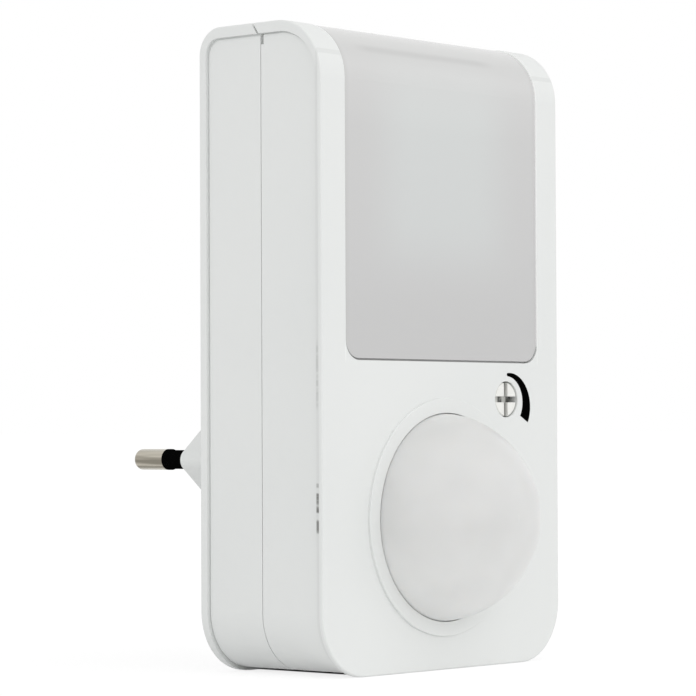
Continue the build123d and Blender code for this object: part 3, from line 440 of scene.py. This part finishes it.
# ---------------------------------------------------------------------------------------------
# Twilight dial: pale natural nylon head on the trimmer's rotor, turned with a screwdriver. Its
# cross slot is painted darker as painted shade, less in the level arms, except at their right end.
# ---------------------------------------------------------------------------------------------
dial_low, dial_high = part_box("twilight_dial")
dial_middle = (dial_low + dial_high) / 2
nylon = Finish("dial_nylon")
nylon_cloud = nylon.place.noise(900.0, 3.0)
nylon_pale = nylon_cloud.mix((0.90, 0.90, 0.87), (0.84, 0.84, 0.80))
nylon_slot_shade = (0.05, 0.05, 0.045)
dial_across = nylon.x - dial_middle.x
slot_depth = nylon.y.rise(dial_low.y + 0.2 * MM, dial_low.y + 1.3 * MM)
level_arms = abs(dial_across).rise(0.5 * MM, 0.7 * MM)
right_end = dial_across.rise(1.5 * MM, 2.1 * MM)
# darker deep in the cross slot: painted shade
slot_shade_patches = nylon_cloud.rise(0.3, 0.6) * 0.4 + 0.6
slot_painted_shade = slot_depth * (1 - level_arms * (0.8 - right_end * 0.8)) * slot_shade_patches
nylon.set("Base Color", slot_painted_shade.mix(nylon_pale, nylon_slot_shade))
nylon.set("Roughness", nylon_cloud * 0.2 + 0.3)
nylon.coat("twilight_dial", "trimmer_rotor")


# ---------------------------------------------------------------------------------------------
# Dial mark: a black crescent printed on the cover beside the dial. It starts as a thin stroke
# above the dial, swells as it runs down the right side and ends in a slanted cut.
# ---------------------------------------------------------------------------------------------
mark_outer = (0.90 * MM, -1.31 * MM, 6.20 * MM)  # across and up from the dial's middle, and radius
mark_inner = (0.04 * MM, -0.50 * MM, 4.78 * MM)
mark_height = 0.03 * MM
mark_proud = 0.45 * mark_height  # from the cover to the ink's middle, so it is sunk a little
mark_start = math.radians(84)
mark_corner = (4.17 * MM, -3.00 * MM)  # inner corner of the lower end
mark_end = math.radians(-28.5)


def printed_disc(across, up, radius, height):
    """Thin upright disc on the cover beside the dial, as the active object."""
    bpy.ops.object.select_all(action="DESELECT")
    bpy.ops.mesh.primitive_cylinder_add(
        vertices=192,
        radius=radius,
        depth=height,
        location=(dial_middle.x + across, cover_front - mark_proud, dial_middle.z + up),
        rotation=(math.pi / 2, 0, 0),
    )
    bpy.ops.object.transform_apply(location=True, rotation=True, scale=True)
    return bpy.context.object


def joined(piece, other, operation):
    """Adds another piece to a piece, or takes it away, and drops the other."""
    change = piece.modifiers.new("change", "BOOLEAN")
    change.operation = operation
    change.solver = "EXACT"
    change.object = other
    bpy.context.view_layer.objects.active = piece
    bpy.ops.object.modifier_apply(modifier=change.name)
    bpy.data.objects.remove(other)


def trim(piece, across, up, angle, side):
    """Cuts a piece along a line through a point beside the dial, and drops one side of it."""
    bpy.ops.object.mode_set(mode="EDIT")
    bpy.ops.mesh.select_all(action="SELECT")
    bpy.ops.mesh.bisect(
        plane_co=(dial_middle.x + across, cover_front, dial_middle.z + up),
        plane_no=(-side * math.sin(angle), 0, side * math.cos(angle)),
        use_fill=True,
        clear_outer=True,
    )
    bpy.ops.object.mode_set(mode="OBJECT")


def edge_reach(across, up, radius):
    """How far a disc reaches from the dial's middle where the mark starts."""
    along = across * math.cos(mark_start) + up * math.sin(mark_start)
    return along + math.sqrt(along**2 - across**2 - up**2 + radius**2)


mark = printed_disc(*mark_outer, mark_height)
mark.name = "dial_mark"
joined(mark, printed_disc(*mark_inner, 10 * mark_height), "DIFFERENCE")
trim(mark, 0, 0, mark_start, 1)
trim(mark, *mark_corner, mark_end, -1)
start_middle = (edge_reach(*mark_outer) + edge_reach(*mark_inner)) / 2
start_round = printed_disc(
    start_middle * math.cos(mark_start),
    start_middle * math.sin(mark_start),
    (edge_reach(*mark_outer) - edge_reach(*mark_inner)) / 2,
    mark_height,
)
joined(mark, start_round, "UNION")

ink = Finish("mark_ink")
ink_cloud = ink.place.noise(1500.0)
ink.set("Base Color", ink_cloud.mix((0.001, 0.001, 0.001), (0.002, 0.002, 0.002)))
ink.set("Roughness", ink_cloud * 0.2 + 0.5)
ink.set("Specular IOR Level", 0.0)
mark.data.materials.append(ink.material)
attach(mark, "housing")


# ---------------------------------------------------------------------------------------------
# Where the light stands: a plain white floor that fades into a white room, lit by the room
# itself, two very wide and soft lamps and a smaller one that puts a soft highlight on the lens.
# The floor has no glow of its own under the light, which paints a shadow there.
# ---------------------------------------------------------------------------------------------
floor_size = 50.0
floor_glow = 0.80  # the part of its white that no shadow takes away
floor_white = 0.26
floor_bounce = 0.9  # how white it is to the light that it throws back
footprint_middle = -35.0 * MM
footprint_half_depth = 13.5 * MM
footprint_half_width = 19.5 * MM
room_light = 0.70


def seen_directly(tree):
    """1 for what the camera sees, straight or in a reflection or through glass."""
    camera, glossy, through = (
        Field(tree).node("ShaderNodeLightPath", {}, output=name)
        for name in ("Is Camera Ray", "Is Glossy Ray", "Is Transmission Ray")
    )
    return camera.math("MAXIMUM", camera.math("MAXIMUM", camera, glossy), through)


def cleared(tree):
    """An empty node tree."""
    tree.nodes.clear()
    return Field(tree)


def grey(level):
    """A neutral colour with its alpha."""
    return (level, level, level, 1)


bpy.ops.object.select_all(action="DESELECT")
bpy.ops.mesh.primitive_plane_add(size=floor_size, location=(0, 0, cad_box[0][2]))
floor = bpy.context.object
floor.name = "floor"
floor_paint = bpy.data.materials.new("floor_paint")
floor_paint.use_nodes = True
paint = cleared(floor_paint.node_tree)
matt = paint.node("ShaderNodeBsdfDiffuse", {"Color": grey(floor_white)})
spot = paint.node("ShaderNodeTexCoord", {}, output="Object")
across = paint.node("ShaderNodeSeparateXYZ", {0: spot}, output="X")
along = paint.node("ShaderNodeSeparateXYZ", {0: spot}, output="Y")
# no glow on the floor under the light: painted shadow
painted_shadow_across = across.band(0, footprint_half_width, 1 * MM)
painted_shadow_along = along.band(footprint_middle, footprint_half_depth, 0.5 * MM)
glow = paint.node("ShaderNodeEmission", {"Strength": floor_glow})
glowing = paint.node("ShaderNodeAddShader", {0: matt, 1: glow})
floor_shown = paint.node("ShaderNodeMixShader", {0: painted_shadow_across * painted_shadow_along, 1: glowing, 2: matt})
bounce = paint.node("ShaderNodeBsdfDiffuse", {"Color": grey(floor_bounce)})
floor_sides = {0: seen_directly(paint.tree), 1: bounce, 2: floor_shown}
floor_mixed = paint.node("ShaderNodeMixShader", floor_sides)
floor_output = paint.tree.nodes.new("ShaderNodeOutputMaterial")
paint.tree.links.new(floor_mixed.socket, floor_output.inputs["Surface"])
floor.data.materials.append(floor_paint)

room = bpy.data.worlds.new("white_room")
room.use_nodes = True
air = cleared(room.node_tree)
lit = air.node("ShaderNodeBackground", {"Color": grey(1), "Strength": room_light})
white = air.node("ShaderNodeBackground", {"Color": grey(1), "Strength": 1.0})
room_mixed = air.node("ShaderNodeMixShader", {0: seen_directly(air.tree), 1: lit, 2: white})
room_output = air.tree.nodes.new("ShaderNodeOutputWorld")
air.tree.links.new(room_mixed.socket, room_output.inputs["Surface"])
bpy.context.scene.world = room
bpy.context.scene.view_settings.view_transform = "Standard"


def lamp(name, towards, strength, width):
    """A distant soft lamp; towards is the direction from the object to it."""
    bpy.ops.object.light_add(type="SUN")
    light = bpy.context.object
    light.name = name
    light.data.energy = strength
    light.data.angle = math.radians(width)
    light.rotation_euler = Vector(towards).to_track_quat("Z", "Y").to_euler()


lamp("front_lamp", (0.20, -0.90, 0.45), 0.70, 90)
lamp("side_lamp", (-0.95, -0.20, 0.25), 0.57, 90)
lamp("lens_lamp", (0.25, -0.79, 0.57), 0.14, 25)


# ---------------------------------------------------------------------------------------------
# Camera: off to the light's left and in front, level with its plug, with a long lens. It looks
# slightly up.
# ---------------------------------------------------------------------------------------------
camera_place = Vector((-438.0, -407.9, 5.6)) * MM
camera_turn = math.radians(-48.93)
camera_tilt = math.radians(1.485)
camera_roll = math.radians(-0.248)
bpy.ops.object.camera_add()
camera = bpy.context.object
camera.data.lens = 162.2
camera.data.sensor_width = 36.0
camera.data.clip_start = 10 * MM
camera.data.clip_end = 100.0
camera.matrix_world = (
    Matrix.Translation(camera_place)
    @ Matrix.Rotation(camera_turn, 4, "Z")
    @ Matrix.Rotation(math.pi / 2 + camera_tilt, 4, "X")
    @ Matrix.Rotation(camera_roll, 4, "Z")
)
bpy.context.scene.camera = camera
